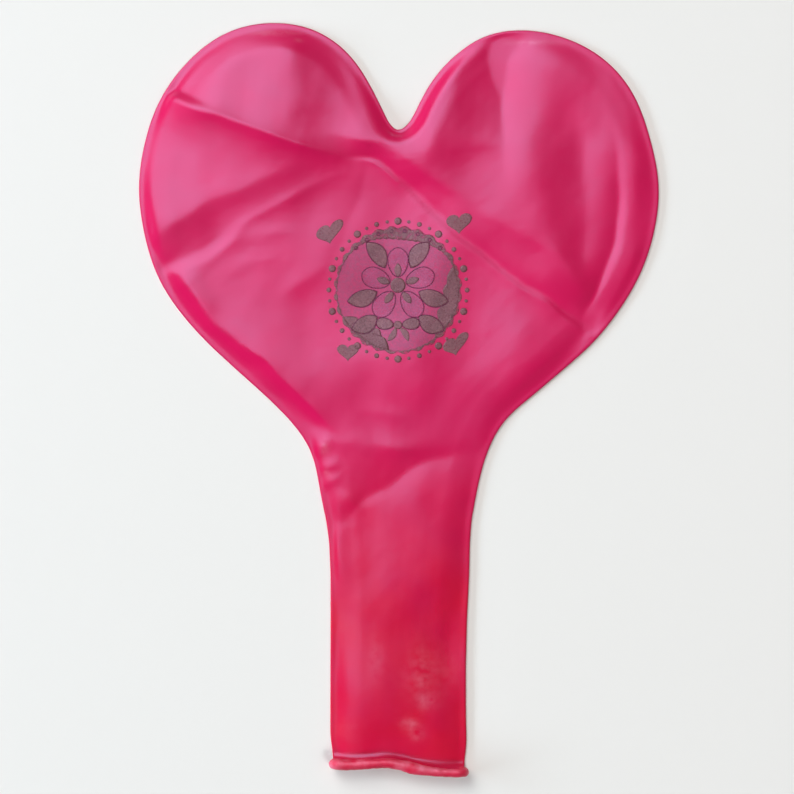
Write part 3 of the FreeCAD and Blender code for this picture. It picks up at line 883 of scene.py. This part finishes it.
def crescent(start, end, outer, belly, count=96):
    """Along a circle from start to end degrees, and back on a scalloped bulge belly mm deep."""
    share = np.linspace(0.0, 1.0, count // 2)
    there = np.radians(start + (end - start) * share)
    back = there[::-1]
    deep = outer - belly * np.sin(np.pi * share) ** 0.7 - 0.55 * np.abs(np.sin(5 * np.pi * share))
    out_side = outer * np.stack([np.cos(there), np.sin(there)], axis=1)
    in_side = deep[:, None] * np.stack([np.cos(back), np.sin(back)], axis=1)
    return np.concatenate([out_side, in_side[1:-1]])


garland = ink_piece("garland", [patch(put(crescent(-52, 24, 12.9, 3.3)), rings=8, top=0.038),
                                patch(put(crescent(206, 262, 12.9, 3.6)), rings=8, top=0.039)])
outlines = ink_piece("outlines", [stroke(b, 0.15, 0.07, closed=True)
                                  for b in petal_borders + leaf_borders + low_leaves + loops])

# %% [markdown]
# One kind of uneven spotting is used by every material here: dust, pigment and ink grain differ only
# in size and strength. It is a shader node group with those as inputs, built once.

# %% Spotting, shared by the materials
def add_node(tree, kind, links=(), **values):
    """A shader node with its values set, and links given as (input name, output socket)."""
    made = tree.nodes.new(kind)
    for key, value in values.items():
        if key in made.inputs:
            made.inputs[key].default_value = value
        else:
            setattr(made, key, value)
    for key, socket in links:
        tree.links.new(socket, made.inputs[key])
    return made


def spotting_group():
    """Noise on the object's own coordinates, stretched so that Low becomes 0 and High becomes 1."""
    group = bpy.data.node_groups.new("spotting", "ShaderNodeTree")
    for label, value in (("Scale", 500.0), ("Detail", 3.0), ("Low", 0.35), ("High", 0.65)):
        group.interface.new_socket(label, in_out="INPUT", socket_type="NodeSocketFloat").default_value = value
    group.interface.new_socket("Mask", in_out="OUTPUT", socket_type="NodeSocketFloat")
    ends = add_node(group, "NodeGroupInput"), add_node(group, "NodeGroupOutput")
    place = add_node(group, "ShaderNodeTexCoord")
    given = ends[0].outputs
    noise = add_node(group, "ShaderNodeTexNoise", [("Vector", place.outputs["Object"]),
                                                   ("Scale", given["Scale"]), ("Detail", given["Detail"])])
    spread = add_node(group, "ShaderNodeMapRange", [("Value", noise.outputs["Fac"]),
                                                    ("From Min", given["Low"]), ("From Max", given["High"])])
    group.links.new(spread.outputs["Result"], ends[1].inputs["Mask"])
    return group


SPOTTING = spotting_group()


def spots(tree, scale, low=0.35, high=0.65, detail=3.0):
    """The spotting group placed in a material: its mask."""
    placed = add_node(tree, "ShaderNodeGroup", node_tree=SPOTTING)
    for key, value in (("Scale", scale), ("Detail", detail), ("Low", low), ("High", high)):
        placed.inputs[key].default_value = value
    return placed.outputs["Mask"]


def blend_colours(tree, mask, first, second, share=1.0):
    """first where the mask is 0 and second where it is 1; each is a colour or a socket."""
    if share != 1.0:
        mask = add_node(tree, "ShaderNodeMath", [(0, mask)], operation="MULTIPLY").outputs[0]
        mask.node.inputs[1].default_value = share
    mix = add_node(tree, "ShaderNodeMix", data_type="RGBA")
    tree.links.new(mask, mix.inputs["Factor"])
    for key, value in (("A", first), ("B", second)):
        socket = [s for s in mix.inputs if s.name == key and s.type == "RGBA"][0]
        if isinstance(value, tuple):
            socket.default_value = value
        else:
            tree.links.new(value, socket)
    return [s for s in mix.outputs if s.type == "RGBA"][0]


def level(tree, mask, low, high):
    """A number that goes from low to high with the mask."""
    spread = add_node(tree, "ShaderNodeMapRange", [("Value", mask)], **{"To Min": low, "To Max": high})
    return spread.outputs["Result"]


def new_material(name):
    """A material with its node tree and its Principled BSDF."""
    material = bpy.data.materials.new(name)
    material.use_nodes = True
    return material, material.node_tree, material.node_tree.nodes["Principled BSDF"]


# %% [markdown]
# Pearl latex is a red rubber full of mica flakes. The flakes mirror a cool lilac over the warm red
# below, which is why lit slopes look pink and unlit ones crimson. That is a strong tinted reflection
# on a rough surface, set on the shader's own sockets. Talc from the factory lies on the neck and lip.
# Talc-coloured marks on the top rims of the lobes are partly powder and partly painted glints.

# %% Pearl latex
PEARL_TINT = (0.12, 0.46, 0.78, 1.0)
DEEP_RED = (0.63, 0.004, 0.084, 1.0)
NECK_RED = (0.63, 0.002, 0.030, 1.0)
LIP_RED = (0.62, 0.006, 0.045, 1.0)
# the light pink of the powder, also used for the painted glints on the top rims
TALC_AND_GLINT = (0.78, 0.26, 0.38, 1.0)


def pearl_latex(name, red, neck_red, powder_glint_cover, roughness, sheen=PEARL_TINT):
    """red turns to neck_red down the neck; the third argument is the cover of powder and painted glints."""
    material, tree, shader = new_material(name)
    place = add_node(tree, "ShaderNodeTexCoord")
    split = add_node(tree, "ShaderNodeSeparateXYZ", [("Vector", place.outputs["Object"])])
    down = add_node(tree, "ShaderNodeMapRange", [("Value", split.outputs["Y"])],
                    **{"From Min": -0.005, "From Max": -0.045})
    body = blend_colours(tree, down.outputs["Result"], red, neck_red)
    clouds = tuple(c * 0.86 for c in red[:3]) + (1.0,)
    cloudy = blend_colours(tree, spots(tree, 90.0, 0.3, 0.7), body, clouds, 0.5)
    talc_glint_layer = add_node(tree, "ShaderNodeAttribute", attribute_name="talc_and_glints")
    grains = spots(tree, 520.0, 0.3, 0.72, 5.0)
    patchy = add_node(tree, "ShaderNodeMath", [(0, talc_glint_layer.outputs["Fac"]), (1, grains)],
                      operation="MULTIPLY")
    final = blend_colours(tree, patchy.outputs[0], cloudy, TALC_AND_GLINT, powder_glint_cover)
    tree.links.new(final, shader.inputs["Base Color"])
    flakes = spots(tree, 1400.0, 0.3, 0.7, 2.0)
    rough = level(tree, spots(tree, 160.0), roughness - 0.02, roughness + 0.04)
    tree.links.new(rough, shader.inputs["Roughness"])
    bump = add_node(tree, "ShaderNodeBump", [("Height", flakes)], Strength=0.12, Distance=0.00003)
    tree.links.new(bump.outputs["Normal"], shader.inputs["Normal"])
    shader.inputs["IOR"].default_value = 2.0
    shader.inputs["Specular Tint"].default_value = sheen
    return material


def mark_talc_and_glints(piece, powder_glint_ovals, floor=0.0):
    """Stores powder and painted glints: a sum of soft ovals (x, y, half width, half height, strength)."""
    flat = np.zeros(len(piece.data.vertices) * 3, np.float32)
    piece.data.vertices.foreach_get("co", flat)
    x, y = flat.reshape(-1, 3)[:, 0] / MM, flat.reshape(-1, 3)[:, 1] / MM
    total = np.full(len(x), floor)
    for cx, cy, wide, high, strength in powder_glint_ovals:
        total += strength * np.exp(-((x - cx) / wide) ** 2 - ((y - cy) / high) ** 2)
    layer = piece.data.attributes.new("talc_and_glints", "FLOAT", "POINT")
    layer.data.foreach_set("value", np.clip(total, 0.0, 1.0).astype(np.float32))


# The first three ovals, on the top rims of the lobes, are partly powder and partly painted glints.
RIM_DUST_AND_GLINTS = [(-26.0, 77.6, 4.5, 0.5, 0.75), (-22.0, 76.0, 1.6, 0.35, 0.5), (28.0, 75.6, 5.0, 0.5, 0.6),
            (-15.6, -9.8, 0.9, 1.6, 0.6), (-15.2, -15.6, 0.7, 0.8, 0.5)]
NECK_DUST = [(-5.0, -54.5, 1.6, 4.5, 0.25), (4.6, -58.0, 1.8, 5.0, 0.35), (6.0, -57.0, 6.0, 5.0, 0.2),
             (6.0, -63.5, 2.0, 1.5, 0.5), (2.2, -68.2, 1.8, 1.2, 0.6), (3.4, -70.5, 1.6, 1.4, 0.5),
             (-11.0, -69.5, 3.0, 3.0, 0.12)]
LIP_DUST = [(-14.0, -76.5, 1.6, 1.5, 0.9), (-9.0, -76.0, 3.5, 1.0, 0.7), (0.5, -76.3, 2.4, 1.0, 0.9),
            (5.0, -77.0, 1.8, 1.0, 0.9), (9.0, -77.6, 3.0, 0.8, 0.7)]
mark_talc_and_glints(film, RIM_DUST_AND_GLINTS + NECK_DUST)
mark_talc_and_glints(lip, LIP_DUST, 0.15)
film.data.materials.append(pearl_latex("pearl_latex", DEEP_RED, NECK_RED, 0.6, 0.31))
lip.data.materials.append(pearl_latex("lip_latex", LIP_RED, LIP_RED, 0.6, 0.42, (0.42, 0.36, 0.5, 1.0)))
print("materials on the film and the lip")

# %% [markdown]
# The ink is a grey mauve that was pressed through a fine mesh, so it is grainy and lets some of the
# film through. Grain in its alpha gives both. The tint is the same ink thinned out.

# %% Ink
def ink_material(name, colour, cover, grain, roughness=0.42):
    """cover is the range of the ink's alpha between its thin and thick grains."""
    material, tree, shader = new_material(name)
    darker = tuple(c * 0.72 for c in colour[:3]) + (1.0,)
    tree.links.new(blend_colours(tree, spots(tree, 260.0), colour, darker), shader.inputs["Base Color"])
    tree.links.new(level(tree, spots(tree, grain, 0.36, 0.64, 2.0), *cover), shader.inputs["Alpha"])
    rough = level(tree, spots(tree, 300.0), roughness - 0.05, roughness + 0.06)
    tree.links.new(rough, shader.inputs["Roughness"])
    shader.inputs["IOR"].default_value = 1.6
    shader.inputs["Specular Tint"].default_value = (0.85, 0.7, 1.0, 1.0)
    return material


INK_GREY = (0.225, 0.095, 0.108, 1.0)
solid_ink = ink_material("screened_ink", INK_GREY, (0.66, 0.96), 2600.0)
patchy_ink = ink_material("patchy_ink", INK_GREY, (0.25, 0.92), 1300.0)
line_ink = ink_material("line_ink", (0.15, 0.012, 0.06, 1.0), (0.7, 0.95), 1500.0)
tint_ink = ink_material("tint_ink", (0.42, 0.13, 0.28, 1.0), (0.24, 0.42), 2000.0)
petal_ink = ink_material("petal_ink", (0.62, 0.13, 0.32, 1.0), (0.15, 0.35), 900.0)
for piece in (pearls, centre, leaves, bow, shades, garland, *heart_pieces):
    piece.data.materials.append(solid_ink)
lace.data.materials.append(patchy_ink)
for piece in (eyelets, outlines):
    piece.data.materials.append(line_ink)
tint.data.materials.append(tint_ink)
petals.data.materials.append(petal_ink)
print("inks:", [m.name for m in bpy.data.materials if m.name.endswith("ink")])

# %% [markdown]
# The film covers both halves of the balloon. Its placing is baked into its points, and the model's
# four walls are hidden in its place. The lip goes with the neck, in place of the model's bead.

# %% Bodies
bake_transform(film)
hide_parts("heart_front_wall", "heart_back_wall", "neck_front_wall", "neck_back_wall")
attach(lip, "neck")
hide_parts("rolled_bead")
